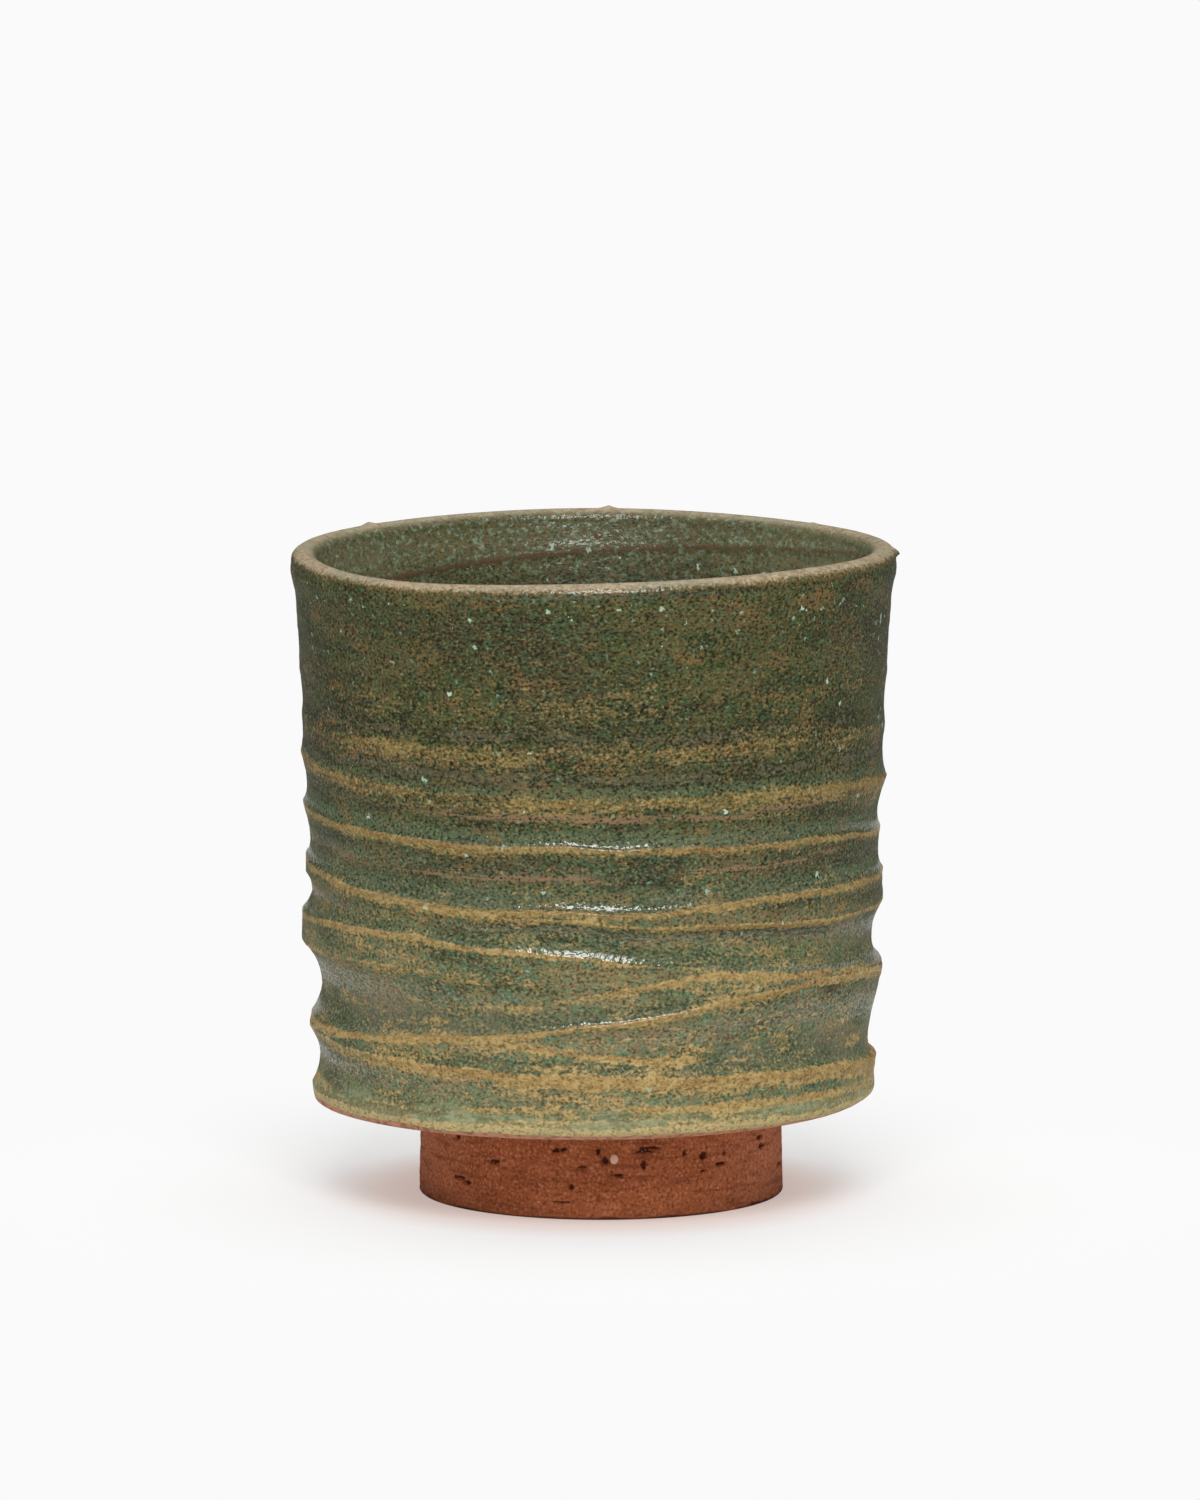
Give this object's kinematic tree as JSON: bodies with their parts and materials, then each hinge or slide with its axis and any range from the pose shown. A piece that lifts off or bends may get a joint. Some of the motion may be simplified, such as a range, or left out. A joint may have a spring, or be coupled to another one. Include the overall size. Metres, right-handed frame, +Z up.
{
  "type": "yunomi tea cup",
  "caption": "Handleless stoneware tea cup: ridged thrown wall with a green ash glaze inside and out, rounded bare lip and a bare clay foot ring.",
  "frame": {"origin": "on the table, under the middle of the body (the foot ring sits 1 mm to the right of it)", "axes": "+Z up, +Y away from the viewer of the picture, +X to that viewer's right"},
  "size_m": [0.0804, 0.0804, 0.0872],
  "materials": {
    "brown_stoneware": "bare fired clay, burnt brown at the lip",
    "red_stoneware": "bare fired red clay with grit, pits and drag marks",
    "outer_green_glaze": "satin olive green ash glaze, breaking ochre over the ridges, with pale specks",
    "inner_green_glaze": "satin mottled green and brown ash glaze"
  },
  "bodies": {
    "root": {"clay_body": "brown_stoneware", "foot_ring": "red_stoneware", "outer_glaze": "outer_green_glaze", "inner_glaze": "inner_green_glaze"}
  },
  "joints": []
}
